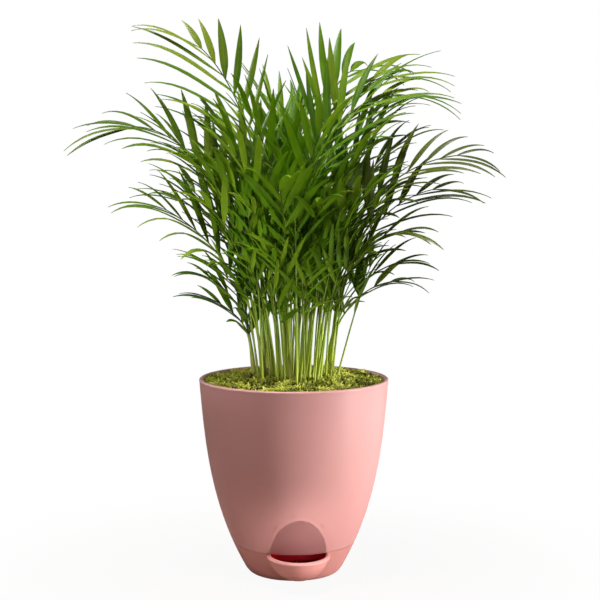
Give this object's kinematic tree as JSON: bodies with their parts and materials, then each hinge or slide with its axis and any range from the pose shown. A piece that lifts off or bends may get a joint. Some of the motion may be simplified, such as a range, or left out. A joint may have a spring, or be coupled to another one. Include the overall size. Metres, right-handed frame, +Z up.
{
  "type": "potted palm",
  "caption": "Clump of arching green feather palms in moss-topped soil, in a tapered dusty-pink self-watering planter with a filling scoop at its foot.",
  "frame": {"origin": "middle of the tray's flat underside, where the planter stands", "axes": "+Z up, -Y towards the filling scoop at the front, +X to the right seen from the front"},
  "size_m": [0.4562, 0.3405, 0.5969],
  "materials": {
    "pot_plastic": "satin, finely textured dusty pink plastic",
    "tray_plastic": "satin dusty pink plastic",
    "potting_soil": "dark crumbly potting mix",
    "moss_cushion": "soft tufted moss",
    "palm_leaf": "fresh green leaf with a slight sheen",
    "dry_stem": "dry brown stem"
  },
  "bodies": {
    "root": {"pot_shell": "pot_plastic", "reservoir_tray": "tray_plastic", "soil": "potting_soil", "moss": "moss_cushion", "palm_01": "palm_leaf", "palm_02": "palm_leaf", "palm_03": "palm_leaf", "palm_04": "palm_leaf", "palm_05": "palm_leaf", "palm_06": "palm_leaf", "palm_07": "palm_leaf", "palm_08": "palm_leaf", "palm_09": "palm_leaf", "palm_10": "palm_leaf", "palm_11": "palm_leaf", "palm_12": "palm_leaf", "palm_13": "palm_leaf", "palm_14": "palm_leaf", "palm_15": "palm_leaf", "palm_16": "palm_leaf", "dry_stub": "dry_stem"}
  },
  "joints": []
}
